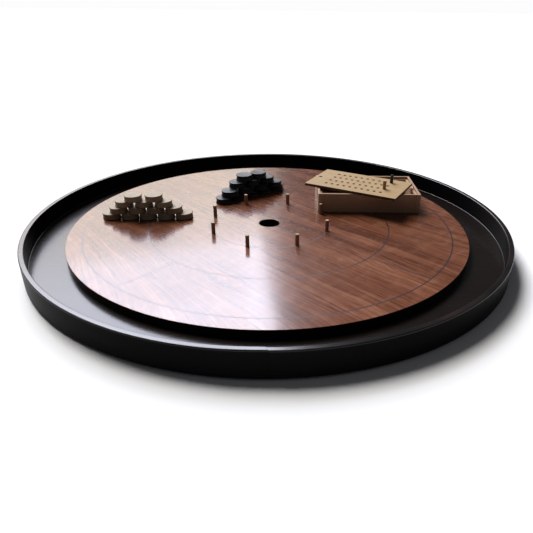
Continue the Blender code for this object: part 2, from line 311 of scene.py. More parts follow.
def blend(factor, a, b, mode="MIX"):
    """Mixes two colours by a factor."""
    def colour(value):
        return value if isinstance(value, Wire) else (*value, 1.0)

    settings = {"data_type": "RGBA", "blend_type": mode, "clamp_factor": True}
    sockets = {MIX_FACTOR: factor, MIX_A: colour(a), MIX_B: colour(b)}
    return factor.node("ShaderNodeMix", settings, sockets, MIX_RESULT)


def step(value, low, high):
    """0 below low, 1 above high, and a smooth rise between. With low above high it falls instead."""
    sockets = {"Value": value, "From Min": low, "From Max": high, "To Min": 0.0, "To Max": 1.0}
    return value.node("ShaderNodeMapRange", {"interpolation_type": "SMOOTHSTEP"}, sockets)


def stretched(vector, x, y, z):
    """Multiplies a vector's parts, so that a pattern read with it has that many features per metre."""
    return vector.node("ShaderNodeVectorMath", {"operation": "MULTIPLY"}, {0: vector, 1: (x, y, z)})


def noise(vector, detail=2.0, rough=0.5, distortion=0.0):
    """Soft random pattern between 0 and 1, with features about one unit apart."""
    sockets = {"Vector": vector, "Scale": 1.0, "Detail": detail, "Roughness": rough}
    sockets["Distortion"] = distortion
    return vector.node("ShaderNodeTexNoise", {}, sockets)


def parts(vector):
    """The three parts of a vector as numbers."""
    x = vector.node("ShaderNodeSeparateXYZ", {}, {0: vector})
    return x, x.also(1), x.also(2)


def joined(x, y, z):
    """A vector from three numbers."""
    first = next(v for v in (x, y, z) if isinstance(v, Wire))
    return first.node("ShaderNodeCombineXYZ", {}, {0: x, 1: y, 2: z})


def attribute(root, name, output):
    """A mark that was stored at the piece's points."""
    return root.node("ShaderNodeAttribute", {"attribute_name": name}, {}, output)


def coordinates(root):
    """Object coordinates: every piece sits at the origin, so these are metres in the scene."""
    return root.node("ShaderNodeTexCoord", {}, {}, "Object")


# %% Start and end a finish


def new_finish(name):
    """A material with an empty node tree, and the wire that starts its graph."""
    material = bpy.data.materials.new(name)
    material.use_nodes = True
    material.node_tree.nodes.clear()
    return material, Wire(material.node_tree)


def surface(root, fixed, varying, height=None, depth=0.0):
    """Ends a graph in a Principled shader.

    fixed holds numbers that are the same all over, varying holds wires, and height with its depth in
    metres feeds a Bump node.
    """
    sockets = {**fixed, **varying}
    if height is not None:
        bump = {"Strength": 1.0, "Distance": depth, "Height": height}
        sockets["Normal"] = root.node("ShaderNodeBump", {}, bump)
    shader = root.node("ShaderNodeBsdfPrincipled", {}, sockets)
    root.node("ShaderNodeOutputMaterial", {}, {"Surface": shader})


def dress(piece, *materials):
    """Gives the piece its materials."""
    piece.data.materials.clear()
    for material in materials:
        piece.data.materials.append(material)


# %% [markdown]
# ## Black lacquer
#
# The rim, the floor of the ditch and the playing core's edge are sprayed with satin black lacquer. Up close
# it isn't flat black: the wood's grain shows through as long shallow lines, the spray leaves a fine orange
# peel, dust and fingers make the gloss uneven, and edges that hands rub turn a little browner and shinier.
# A glossy black alone would look like plastic, so every one of these goes into the finish as a thin layer.

# %% Finish: satin black lacquer


def black_lacquer(name, along, gloss, rough_from, tones):
    """Satin black over wood. along stretches the grain: few features along the wood, many across.

    tones are the lacquer's two blacks and the grain's. Rubbed edges get a clear coat, because hands
    polish them.
    """
    material, root = new_finish(name)
    own = attribute(root, "strip", "Vector")
    rubbed = attribute(root, "rubbed", "Fac")
    grain = noise(stretched(own, *along), 3.0, 0.6)
    peel = noise(stretched(own, 260, 260, 260), 1.0, 0.4)
    hands = noise(stretched(own, 9, 16, 16), 3.0, 0.55)
    dust = step(noise(stretched(own, 950, 950, 950), 1.0, 0.4), 0.76, 0.84)
    hairline = step(noise(stretched(own, 30, 900, 900), 2.0, 0.5, 0.4), 0.68, 0.74)
    tone = blend(hands, tones[0], tones[1])
    tone = blend(step(grain, 0.50, 0.75) * 0.35, tone, tones[2])
    tone = blend(rubbed * step(hands, 0.35, 0.75) * 0.5, tone, (0.045, 0.028, 0.020))
    tone = blend(dust * 0.25, tone, (0.06, 0.055, 0.05))
    rough = rough_from + hands * 0.08 + dust * 0.2 + hairline * 0.10 - rubbed * 0.05
    relief = grain * 0.6 + peel * 0.3 - hairline * 0.25
    fixed = {"IOR": 1.46, "Specular IOR Level": gloss, "Coat IOR": 1.5, "Coat Roughness": 0.2}
    varying = {"Base Color": tone, "Roughness": rough, "Coat Weight": rubbed * 0.9}
    surface(root, fixed, varying, relief, 0.00006)
    return material


COOL_BLACKS = ((0.0044, 0.0043, 0.0044), (0.0080, 0.0078, 0.0079), (0.0108, 0.0102, 0.0100))
BROWN_BLACKS = ((0.0055, 0.0034, 0.0027), (0.0098, 0.0062, 0.0050), (0.0130, 0.0082, 0.0064))
LACQUER_STRIP = black_lacquer("black_lacquer_rim", (14, 420, 420), 0.012, 0.30, COOL_BLACKS)
LACQUER_PANEL = black_lacquer("black_lacquer_panel", (11, 160, 160), 0.42, 0.19, BROWN_BLACKS)
print("lacquer nodes:", len(LACQUER_STRIP.node_tree.nodes))

# %% [markdown]
# ## The rim
#
# The rim is one long strip of wood, bent round the base panel and glued to itself at the front with a
# slanted joint. A lathe would give a ring without a joint, so the strip's profile is carried along its own
# path instead: from one side of the glue line all the way round to the other. The two ends are slanted by
# starting the outer face a little later than the inner one. As every point still travels on its own circle,
# the strip stays exactly round. One end stands a hair further in, as hand-glued ends do.

# %% Sizes of the rim
RIM_LOW, RIM_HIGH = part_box("outer_rim")
RIM_OUTER = RIM_HIGH.x
RIM_WALL = 0.0080
RIM_EDGE = 0.0015
JOINT_ANGLE = math.radians(-88.5)
JOINT_SLANT = math.radians(29.0)
JOINT_GAP = 0.0004
JOINT_STEP = 0.0009
JOINT_STEP_REACH = 0.03
RIM_STATIONS = 720
ARC_STEPS = 7
RUBBED_REACH = 0.0025
print(f"rim: {2 * RIM_OUTER:.4f} m across, {RIM_HIGH.z - RIM_LOW.z:.4f} m high")

# %% Carry the rim's profile round the board


def bent_strip(name, profile, profile_mark):
    """Carries a profile of (radius, height) points round the board from one end of the strip to the other.

    A point at radius r starts at the joint's angle plus (r - r_middle) tan(slant) / r, plus half the gap,
    and travels one full turn less the gap. Near the last end the strip leans in: its radius shrinks by the
    step at the top and by nothing at the bottom, blended smoothly over the reach.
    """
    radius, height = profile.T
    share = np.linspace(0, 1, RIM_STATIONS + 1)[:, None]
    middle = RIM_OUTER - RIM_WALL / 2
    lead = (radius - middle) * math.tan(JOINT_SLANT) / radius + JOINT_GAP / 2 / radius
    angle = JOINT_ANGLE + lead + share * (math.tau - JOINT_GAP / radius)
    near_end = np.clip((share - 1 + JOINT_STEP_REACH) / JOINT_STEP_REACH, 0, 1)
    lean = (height - RIM_LOW.z) / (RIM_HIGH.z - RIM_LOW.z)
    pulled = radius - JOINT_STEP * lean * near_end**2 * (3 - 2 * near_end)
    shape = np.broadcast_arrays(pulled * np.cos(angle), pulled * np.sin(angle), height)
    points = np.stack(shape, axis=-1)
    rows, columns = points.shape[:2]
    faces = grid_faces(rows, columns, False, True).tolist()
    faces.append(np.arange(columns)[::-1].tolist())
    faces.append((np.arange(columns) + (rows - 1) * columns).tolist())
    piece = make_piece(name, points, faces)
    length = share * math.tau * middle
    own = np.stack(np.broadcast_arrays(length, radius, height), axis=-1)
    mark(piece, "strip", own.reshape(-1, 3))
    mark(piece, "rubbed", np.broadcast_to(profile_mark, (rows, columns)).ravel())
    return piece


# %% Make the rim
inner, outer = RIM_OUTER - RIM_WALL, RIM_OUTER
rim_corners = [(inner, RIM_LOW.z), (outer, RIM_LOW.z), (outer, RIM_HIGH.z), (inner, RIM_HIGH.z)]
rim_profile = rounded(rim_corners, [EASED, BROKEN, RIM_EDGE, RIM_EDGE], ARC_STEPS)

# The rubbed mark fades out at two more points, one on each side, because it is blended between points.
fade = RIM_HIGH.z - RUBBED_REACH
outer_arc, inner_arc = 2 * (ARC_STEPS + 1), 4 * (ARC_STEPS + 1)
rim_profile = np.insert(rim_profile, [outer_arc, inner_arc], [(outer, fade), (inner, fade)], axis=0)
rim_mark = np.clip(1 - (RIM_HIGH.z - rim_profile[:, 1]) / RUBBED_REACH, 0, 1)
rim = settle(bent_strip("rim_strip", rim_profile, rim_mark))
dress(rim, LACQUER_STRIP)
stand_for(rim, "outer_rim", "board")

# %% [markdown]
# ## Base panel and playing core
#
# The base panel is a round board under everything, and its top is the floor of the ditch. Lacquer gathers
# in the corner where it meets the rim and dries as a tiny cove, which shows as a thin bright line on the
# side away from the light, so the panel's outline ends in a small concave arc. The playing core is a thick
# round board on it, drilled for the pegs and the centre hole. Both are turned, and their holes are cut with
# Boolean modifiers, which is how a drill works: the same tool shape taken out at each place.

# %% Mark a flat panel for its finish
CLEARANCE = 0.0003
CUT_MARGIN = 0.002
SCREW_HEAD, SCREW_SHANK = 0.0040, 0.0020


def mark_panel(piece):
    """The grain reads object coordinates, and nothing is rubbed, as hands seldom reach into the ditch."""
    points = positions(piece)
    mark(piece, "strip", points)
    mark(piece, "rubbed", np.zeros(len(points)))


def screw_bore(bottom, top):
    """Half the section of the bore for a countersunk screw, a clearance wider than the screw."""
    head, shank, cone = SCREW_HEAD + CLEARANCE, SCREW_SHANK + CLEARANCE, SCREW_HEAD - SCREW_SHANK
    under = bottom - CUT_MARGIN
    corners = [(0, under), (head, under), (head, bottom), (shank, bottom + cone), (shank, top), (0, top)]
    return np.array(corners)


# %% Make the base panel
BASE_LOW, BASE_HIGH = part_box("base_panel")
BASE_RADIUS = BASE_HIGH.x
COVE_RISE = 0.0010
COVE_LIP = 0.0003
BOARD_SIDES, BORE_SIDES = 288, 32
screw_boxes = [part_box(f"assembly_screw_{n}") for n in range(1, 5)]
screw_places = np.array([((low + high) / 2)[:2] for low, high in screw_boxes])
SCREW_LOW, SCREW_TOP = screw_boxes[0][0].z, screw_boxes[0][1].z

cove_top, cove_inside = BASE_HIGH.z + COVE_RISE, BASE_RADIUS - COVE_LIP
base_corners = [
    (0, BASE_LOW.z),
    (BASE_RADIUS, BASE_LOW.z),
    (BASE_RADIUS, cove_top),
    (cove_inside, cove_top),
    (cove_inside, BASE_HIGH.z),
    (0, BASE_HIGH.z),
]
base = turned("ditch_floor", rounded(base_corners, [0, SOFT, 0, 0, SOFT, 0]), BOARD_SIDES)
bore_outline = screw_bore(SCREW_LOW, SCREW_TOP + CLEARANCE)
cut(base, turned("base_bores", bore_outline, BORE_SIDES, screw_places))
mark_panel(base)
dress(base, LACQUER_PANEL)
stand_for(base, "base_panel", "board")

# %% Make the playing core
CORE_LOW, CORE_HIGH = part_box("playing_core")
PLAYING_RADIUS = CORE_HIGH.x
HOLE_RADIUS = 0.0177
PEG_SEAT = 0.0080
peg_boxes = [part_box(f"peg_{n}") for n in range(1, 9)]
peg_places = np.array([((low + high) / 2)[:2] for low, high in peg_boxes])
PEG_RADIUS = (peg_boxes[0][1].x - peg_boxes[0][0].x) / 2
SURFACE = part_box("playing_veneer")[1].z


def peg_bores(name):
    """Blind bores for the pegs, a clearance wider than a peg."""
    bore, floor, top = PEG_RADIUS + CLEARANCE, SURFACE - PEG_SEAT, SURFACE + CUT_MARGIN
    return turned(name, [(0, floor), (bore, floor), (bore, top), (0, top)], BORE_SIDES, peg_places)


def ring_section(low, high, radii):
    """The rounded section of a flat ring between the centre hole and the playing surface's edge."""
    corners = [(HOLE_RADIUS, low), (PLAYING_RADIUS, low), (PLAYING_RADIUS, high), (HOLE_RADIUS, high)]
    return rounded(corners, radii)


core_section = ring_section(CORE_LOW.z, CORE_HIGH.z, [CRISP, SOFT, EASED, CRISP])
core = turned("playing_core_turned", core_section, BOARD_SIDES)
cut(core, peg_bores("core_peg_bores"), turned("core_screw_bores", bore_outline, BORE_SIDES, screw_places))
mark_panel(core)
dress(core, LACQUER_PANEL)
stand_for(core, "playing_core", "board")

# %% [markdown]
# ## The veneer
#
# The playing face is a thin leaf of red-brown wood under a hard gloss coat. A leaf is sliced lengthwise off
# a log, and a log is a stack of cones, because each year's wood lies round the last and the trunk tapers.
# The slice therefore shows long streaks at its sides and arches that close to a point near the middle.
# A scanned picture of wood could be wrapped on the board, but the cut can simply be worked out: the distance
# from the log's centre line is the square root of (across squared + depth squared), and the depth grows
# slowly along the leaf. Streaks, pores and figure are then patterns of that distance.
#
# The ring lines and the four corner lines are drawn in thin dark ink under the coat.

# %% Finish: figured veneer with inked lines
GRAIN_TURN = math.radians(42)
LINE_RADII = (0.3048, 0.2032, 0.1016)
QUARTER_TURN = math.radians(-49.6)
LINE_HALF_WIDTH = 0.00105
LINE_SOFT = 0.00022
LINE_END = 0.0002


def inked_lines(own):
    """1 on a line. A ring is where the distance from the centre is near its radius, and a corner line is
    where the nearer of the two turned axes is close, between the two outer rings."""
    x, y, _ = parts(own)
    distance = x.math("SQRT", x * x + y * y)
    quarter = own.node("ShaderNodeMapping", {}, {"Vector": own, "Rotation": (0, 0, QUARTER_TURN)})
    across, along, _ = parts(quarter)
    nearest = across.math("MINIMUM", across.math("ABSOLUTE", across), across.math("ABSOLUTE", along))
    between = step(distance, LINE_RADII[1] - LINE_END, LINE_RADII[1] + LINE_END)
    between = between * step(distance, LINE_RADII[0] + LINE_END, LINE_RADII[0] - LINE_END)
    far, near = LINE_HALF_WIDTH + LINE_SOFT, LINE_HALF_WIDTH - LINE_SOFT
    lines = step(nearest, far, near) * between
    for radius in LINE_RADII:
        off = x.math("ABSOLUTE", distance - radius)
        lines = lines.math("MAXIMUM", lines, step(off, far, near))
    return lines


def figured_veneer(name):
    """Sliced red-brown wood with arches, streaks, pores, painted sheen patches and inked lines under a gloss
    coat.
    """
    material, root = new_finish(name)
    own = coordinates(root)
    laid = own.node("ShaderNodeMapping", {}, {"Vector": own, "Rotation": (0, 0, GRAIN_TURN)})
    along, across, _ = parts(laid)
    sway = noise(stretched(laid, 3.0, 9.0, 1.0), 2.0, 0.5) - 0.5
    ripple = noise(stretched(laid, 14.0, 60.0, 1.0), 3.0, 0.55) - 0.5
    off_axis = across + 0.360 + sway * 0.060 + ripple * 0.0070
    depth = 0.060 + (along + 0.42) * 0.140
    log = along.math("SQRT", off_axis * off_axis + depth * depth)
    year = joined(log * 210, along * 1.6, 0.0)
    streak = noise(year, 4.0, 0.68)
    thread = noise(joined(log * 560, along * 3.0, 5.3), 3.0, 0.6)
    band = noise(joined(log * 46, along * 2.2, 3.7), 2.0, 0.5)
    edge = step(noise(joined(log * 330, along * 5.0, 9.1), 1.0, 0.5), 0.58, 0.72)
    fibre = noise(stretched(laid, 26, 1500, 1.0), 3.0, 0.6)
    pore = step(noise(stretched(laid, 190, 2600, 1.0), 2.0, 0.5), 0.60, 0.72)
    stroke = noise(joined(along * 38, log * 900, 2.7), 3.0, 0.65)
    cloud = noise(stretched(laid, 7.0, 20.0, 1.0), 3.0, 0.55)
    painted_sheen = noise(stretched(laid, 60.0, 26.0, 1.0), 2.0, 0.5)
    figure = streak * 0.56 + band * 0.40 + (thread - 0.5) * 0.30 + (stroke - 0.5) * 0.50
    figure = figure + (cloud - 0.5) * 0.20 + (fibre - 0.5) * 0.14

    stops = [
        (0.22, (0.050, 0.0160, 0.0080)),
        (0.38, (0.104, 0.0330, 0.0160)),
        (0.50, (0.165, 0.0580, 0.0290)),
        (0.62, (0.235, 0.0930, 0.0500)),
        (0.80, (0.370, 0.1820, 0.1050)),
    ]
    tone = root.node("ShaderNodeValToRGB", {"stops": stops}, {"Fac": figure})
    tone = blend(edge * 0.55, tone, (0.040, 0.0140, 0.0085))
    tone = blend(pore * 0.50, tone, (0.030, 0.0120, 0.0080))
    # Lighter patches screened onto the wood are a painted sheen, standing in for the figure's shimmer.
    tone = blend(step(painted_sheen, 0.45, 0.75) * 0.09, tone, (0.46, 0.235, 0.140), "SCREEN")
    ink = inked_lines(own) * (0.84 + fibre * 0.16)
    tone = blend(ink, tone, (0.030, 0.019, 0.027))
    rough = 0.19 + (fibre - 0.5) * 0.08 + pore * 0.05 + ink * 0.14 + (cloud - 0.5) * 0.03
    relief = fibre * 0.35 - pore * 0.7 + edge * 0.15 - ink * 0.1 + cloud * 1.2
    fixed = {"IOR": 1.48, "Specular IOR Level": 0.38, "Coat Weight": 0.30, "Coat Roughness": 0.09}
    surface(root, fixed, {"Base Color": tone, "Roughness": rough}, relief, 0.00005)
    return material


VENEER_FINISH = figured_veneer("figured_veneer")
print("veneer nodes:", len(VENEER_FINISH.node_tree.nodes))

# %% Make the veneer
VENEER_LOW, VENEER_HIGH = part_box("playing_veneer")
VENEER_SIDES = 384
veneer_section = ring_section(VENEER_LOW.z, VENEER_HIGH.z, [KNIFE_CUT, KNIFE_CUT, EASED, CRISP])
veneer = turned("veneer_leaf", veneer_section, VENEER_SIDES)
cut(veneer, peg_bores("veneer_peg_bores"))
dress(veneer, VENEER_FINISH)
stand_for(veneer, "playing_veneer", "board")

# %% [markdown]
# ## Solid wood
#
# Pegs, discs, box and lid are solid wood, and solid wood has its pattern inside: the same yearly rings show
# as long lines on a side and as arcs on an end. A flat texture would give itself away at every edge. So the
# finish is a pattern in space: each piece stores its own coordinates, with x along the grain, and the ring
# pattern is the distance from a centre line that runs beside the piece.

# %% Finish: solid wood of any kind


def solid_wood(name, kind):
    """A finish from a wood's light and dark colours, ring gap, pores, gloss and how far its log's centre is.

    Ring distance = square root of ((y + sway)^2 + (z + pith)^2), and each year runs from pale early wood to
    a narrow dark late band.
    """
    material, root = new_finish(name)
    own = attribute(root, "grain", "Vector")
    tint = attribute(root, "tint", "Fac")
    end = attribute(root, "end", "Fac")
    x, y, z = parts(own)
    sway = noise(stretched(own, 14, 45, 45), 2.0, 0.5) - 0.5
    fine = noise(stretched(own, 60, 420, 420), 2.0, 0.5) - 0.5
    a = y + kind["pith"][0] + sway * kind["sway"]
    b = z + kind["pith"][1] + sway * kind["sway"] * 0.6
    years = (x.math("SQRT", a * a + b * b) + fine * kind["gap"] * 0.25) / kind["gap"]
    part_year = years.math("FRACT", years)
    late = step(part_year, 0.35, 0.88) * step(part_year, 1.0, 0.93)
    fibre = noise(stretched(own, 90, 2600, 2600), 3.0, 0.6)
    fleck = step(noise(stretched(own, 240, 2100, 900), 1.0, 0.5), 0.63, 0.72)
    cloud = noise(stretched(own, 18, 60, 60), 2.0, 0.5)
    tone = blend(late * kind["contrast"], kind["light"], kind["dark"])
    tone = blend((fibre - 0.30) * 0.55 * kind["contrast"], tone, kind["dark"])
    tone = blend(step(cloud + tint * 0.25, 0.35, 0.85) * 0.45, tone, kind["warm"])
    tone = blend(fleck * kind["fleck"], tone, kind["pore"])
    # End grain takes the kind's end colour; the pegs' pale end colour is painted light on their tops.
    tone = blend(end * kind["end_grain_and_lit_top_share"], tone, kind["end"])
    rough = kind["rough"] + (fibre - 0.5) * 0.14 + fleck * 0.08 + end * 0.08
    relief = fibre * 0.5 - fleck * 0.6 - late * 0.35
    surface(root, kind["fixed"], {"Base Color": tone, "Roughness": rough}, relief, 0.00005)
    return material


BARE = {"IOR": 1.45, "Specular IOR Level": 0.22}
OILED = {"IOR": 1.46, "Specular IOR Level": 0.45, "Coat Weight": 0.12, "Coat Roughness": 0.3}
WAXED = {"IOR": 1.48, "Specular IOR Level": 0.26, "Coat Weight": 0.04, "Coat Roughness": 0.25}

# The peg's end colour is far paler than its sides: painted light on the tops, which face the light.
PEG_KIND = {
    "light": (0.36, 0.205, 0.125), "dark": (0.19, 0.095, 0.052), "warm": (0.28, 0.150, 0.085),
    "pore": (0.09, 0.044, 0.024), "end": (0.58, 0.420, 0.270), "end_grain_and_lit_top_share": 0.60,
    "pith": (0.012, 0.016), "sway": 0.002, "gap": 0.0016, "contrast": 0.75,
    "fleck": 0.45, "rough": 0.48, "fixed": BARE,
}
LIGHT_DISC_KIND = {
    "light": (0.36, 0.297, 0.208), "dark": (0.23, 0.166, 0.098), "warm": (0.31, 0.237, 0.146),
    "pore": (0.17, 0.110, 0.060), "end": (0.26, 0.185, 0.115), "end_grain_and_lit_top_share": 0.42,
    "pith": (0.022, 0.030), "sway": 0.006, "gap": 0.0024, "contrast": 0.50,
    "fleck": 0.22, "rough": 0.46, "fixed": BARE,
}
DARK_DISC_KIND = {
    "light": (0.006, 0.0150, 0.0185), "dark": (0.002, 0.0070, 0.0092), "warm": (0.004, 0.0112, 0.0142),
    "pore": (0.003, 0.0050, 0.0075), "end": (0.004, 0.0120, 0.0160), "end_grain_and_lit_top_share": 0.42,
    "pith": (0.020, 0.028), "sway": 0.006, "gap": 0.0026, "contrast": 0.65,
    "fleck": 0.40, "rough": 0.36, "fixed": WAXED,
}
BOX_KIND = {
    "light": (0.44, 0.280, 0.180), "dark": (0.27, 0.150, 0.088), "warm": (0.37, 0.215, 0.128),
    "pore": (0.16, 0.082, 0.045), "end": (0.42, 0.270, 0.165), "end_grain_and_lit_top_share": 0.50,
    "pith": (0.045, 0.020), "sway": 0.010, "gap": 0.0030, "contrast": 0.48,
    "fleck": 0.25, "rough": 0.46, "fixed": OILED,
}
# The lid's end colour, a very dark brown, covers its whole edge band, so the lid is far darker at its edges
# than on its top.
LID_KIND = {
    "light": (0.42, 0.290, 0.150), "dark": (0.29, 0.187, 0.088), "warm": (0.375, 0.250, 0.122),
    "pore": (0.21, 0.125, 0.060), "end": (0.050, 0.028, 0.015), "end_grain_and_lit_top_share": 0.92,
    "pith": (0.000, 0.110), "sway": 0.020, "gap": 0.0034, "contrast": 0.40,
    "fleck": 0.20, "rough": 0.50, "fixed": BARE,
}

PEG_WOOD = solid_wood("peg_dowel", PEG_KIND)
LIGHT_DISC_WOOD = solid_wood("light_disc_maple", LIGHT_DISC_KIND)
DARK_DISC_WOOD = solid_wood("dark_disc_stained", DARK_DISC_KIND)
BOX_WOOD = solid_wood("score_box_wood", BOX_KIND)
LID_WOOD = solid_wood("score_lid_wood", LID_KIND)
print("solid wood nodes:", len(PEG_WOOD.node_tree.nodes))

# %% Give a piece its own place in a log
chance = np.random.default_rng(26)
LOG_FROM, LOG_TO = (0.0, -0.006, -0.004), (2.0, 0.006, 0.004)
END_FROM, END_REACH = 0.55, 0.35


def lay_grain(piece, centre, along, up=(0.0, 0.0, 1.0), end=None):
    """Stores grain coordinates: x along the grain, z along up, y across both, from the piece's centre.

    Every piece gets its own shift in the log, so no two show the same rings. end marks end grain, which by
    default is where the surface faces along the grain.
    """
    x_axis = np.array(along, float) / np.linalg.norm(along)
    z_axis = np.array(up, float) - x_axis * np.dot(up, x_axis)
    z_axis /= np.linalg.norm(z_axis)
    axes = np.stack([x_axis, np.cross(z_axis, x_axis), z_axis])
    shift = chance.uniform(LOG_FROM, LOG_TO)
    mark(piece, "grain", (positions(piece) - np.array(centre)) @ axes.T + shift)
    if end is None:
        normals = np.empty(len(piece.data.vertices) * 3, np.float32)
        piece.data.vertices.foreach_get("normal", normals)
        facing = np.abs(normals.reshape(-1, 3) @ x_axis)
        end = np.clip((facing - END_FROM) / END_REACH, 0, 1)
    mark(piece, "end", end)
    mark(piece, "tint", np.full(len(piece.data.vertices), chance.uniform(-1, 1)))


# %% [markdown]
# ## Pegs
#
# Eight dowels stand round the centre hole. A dowel is cut to length and its end is broken with sandpaper:
# the top has a small arc, and its disc of end grain is painted paler than the sides, as painted light on the
# top.

# %% Make the pegs
PEG_SIDES = 32

for number, (low, high) in enumerate(peg_boxes, 1):
    centre = (low + high) / 2
    corners = [(0, low.z), (PEG_RADIUS, low.z), (PEG_RADIUS, high.z), (0, high.z)]
    outline = rounded(corners, [0, CRISP, BROKEN, 0], 4)
    peg = settle(turned(f"dowel_peg_{number}", outline, PEG_SIDES, [(centre.x, centre.y)]))
    quarter = chance.uniform(0, math.tau)
    lay_grain(peg, centre, (0, 0, 1), up=(math.cos(quarter), math.sin(quarter), 0))
    dress(peg, PEG_WOOD)
    stand_for(peg, f"peg_{number}", "board")

# %% [markdown]
# ## Playing discs
#
# Discs are turned from hardwood: 31 mm across, with softened edges, a side that is hollowed a little so
# that fingers can grip it, and a shallow dish in the top face. The set has fourteen light discs and fourteen
# stained ones, here piled like bricks. A pile that is one mesh couldn't be played with, so every disc is its
# own piece and rides on its own body. One profile serves them all, while each disc has its grain turned its
# own way, as on a real table.

# %% Make the discs
DISC_RADIUS = 0.0155
DISC_SIDES = 56
DISC_ARC = 0.0010
DISC_WAIST = 0.0009
DISC_DISH = 0.00035
DISC_LAND = 0.0040
DISC_ARC_STEPS = 6
DISC_SIDE_POINTS, DISC_TOP_POINTS = 11, 13


def disc_outline(radius, low, high):
    """A rounded block with a hollow side, whose top sinks as a shallow bowl inside a flat ring.

    With u from -1 to 1 up the side, the side lies waist * (1 - u^2) inside the full radius. The bowl's
    depth is dish * (1 - (r / bowl radius)^2)^1.5.
    """
    corners = [(0, low), (radius, low), (radius, high), (0, high)]
    outline = rounded(corners, [0, DISC_ARC, DISC_ARC, 0], DISC_ARC_STEPS)
    side_start = DISC_ARC_STEPS + 2
    u = np.linspace(-1, 1, DISC_SIDE_POINTS)[1:-1]
    side_height = (low + high) / 2 + u * ((high - low) / 2 - DISC_ARC)
    side = np.stack([radius - DISC_WAIST * (1 - u**2), side_height], axis=1)
    bowl_radius = radius - DISC_LAND
    r = np.linspace(radius - DISC_ARC, 0, DISC_TOP_POINTS)[1:]
    sunk = DISC_DISH * (1 - np.clip(r / bowl_radius, 0, 1) ** 2) ** 1.5
    top = np.stack([r, high - sunk], axis=1)
    return np.vstack([outline[:side_start], side, outline[side_start:-1], top])


for shade_name, wood, slot_name in (
    ("light", LIGHT_DISC_WOOD, "light_disc_wood"),
    ("dark", DARK_DISC_WOOD, "dark_disc_stain"),
):
    for number in range(1, 15):
        node = f"{shade_name}_disc_{number}"
        low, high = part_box(node)
        centre = (low + high) / 2
        outline = disc_outline(DISC_RADIUS, low.z, high.z)
        name = f"{shade_name}_playing_disc_{number}"
        disc = settle(turned(name, outline, DISC_SIDES, [(centre.x, centre.y)]))
        turn = chance.uniform(0, math.tau)
        lay_grain(disc, centre, (math.cos(turn), math.sin(turn), 0))
        dress(disc, wood)
        stand_for(disc, node, node)

# %% [markdown]
# ## The score box
#
# Four walls and a floor. The two end walls run the box's full depth, so their end grain shows at the front,
# and all four walls have a step cut along the inside of the top edge, in which the lid lies flush. The
# walls are plain planks with a rebate cut out, which is exactly a router's job, so the lesson does the same
# with a Boolean. A Bevel modifier then sands every edge.

# %% Make planks
SAND_ANGLE = math.radians(40)


def plank(name, low, high):
    """A block between two corners, as its lower outline carried straight up."""
    (x0, y0, z0), (x1, y1, z1) = low, high
    outline = np.array([(x0, y0), (x1, y0), (x1, y1), (x0, y1)], float)
    height = np.array([z0, z1])[:, None, None]
    points = np.concatenate([np.broadcast_to(outline, (2, 4, 2)), np.broadcast_to(height, (2, 4, 1))], axis=2)
    faces = grid_faces(2, 4, False, True)[:, ::-1].tolist() + [[3, 2, 1, 0], [4, 5, 6, 7]]
    return make_piece(name, points, faces)


def sanded(piece, width=0.0005, segments=3):
    """Sands the piece's sharp edges with a Bevel modifier."""
    sand = piece.modifiers.new("sand", "BEVEL")
    sand.width = width
    sand.segments = segments
    sand.limit_method = "ANGLE"
    sand.angle_limit = SAND_ANGLE
    sand.use_clamp_overlap = True
    return settle(piece)


# %% Make the box's walls and floor
BOX_LIP = 0.0040
LID_LOW, LID_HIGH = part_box("box_lid")
LID_THICKNESS = LID_HIGH.z - LID_LOW.z
box_low, box_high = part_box("box_left")[0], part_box("box_right")[1]

for node, along in (
    ("box_left", (0, 1, 0)),
    ("box_right", (0, 1, 0)),
    ("box_front", (1, 0, 0)),
    ("box_back", (1, 0, 0)),
    ("box_floor", (1, 0, 0)),
):
    low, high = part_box(node)
    wall = plank(node.replace("box_", "score_box_"), low, high)
    up = (0, 0, 1)
    if node != "box_floor":
        rebate_low = (box_low.x + BOX_LIP, box_low.y + BOX_LIP, box_high.z - LID_THICKNESS)
        rebate_high = (box_high.x - BOX_LIP, box_high.y - BOX_LIP, box_high.z + CUT_MARGIN)
        cut(wall, plank("rebate", rebate_low, rebate_high))
        up = (1, 0, 0) if along[1] else (0, 1, 0)
    sanded(wall)
    lay_grain(wall, (low + high) / 2, along, up)
    dress(wall, BOX_WOOD)
    stand_for(wall, node, "box")

# %% [markdown]
# ## The lid
#
# The lid is a thin plate with four rows of ten blind holes, and one hole right through it to lift it by. It
# lies askew on the box. Forty separate Boolean cuts would be slow, so the drill bits for the blind holes are
# one mesh of forty turned shapes, taken out in a single cut, and the bit for the through hole is a second
# one. Each bit has a tiny countersink.

# %% Finish: painted shade inside a drilled hole


def painted_shade_bore(name):
    """Wood inside a drilled hole, painted dark as painted shade, flecked and ringed."""
    material, root = new_finish(name)
    own = coordinates(root)
    dust = noise(stretched(own, 1400, 1400, 500), 3.0, 0.6)
    rings = noise(stretched(own, 10, 10, 2600), 2.0, 0.5)
    # The dark browns inside the hole are painted shade in the recess.
    tone = blend(dust * 0.6 + rings * 0.4, (0.020, 0.0115, 0.0065), (0.110, 0.0660, 0.0360))
    rough = 0.70 + dust * 0.2
    surface(root, {"Specular IOR Level": 0.2}, {"Base Color": tone, "Roughness": rough}, rings, 0.00005)
    return material


BORE_PAINTED_SHADE = painted_shade_bore("painted_shade_bore")

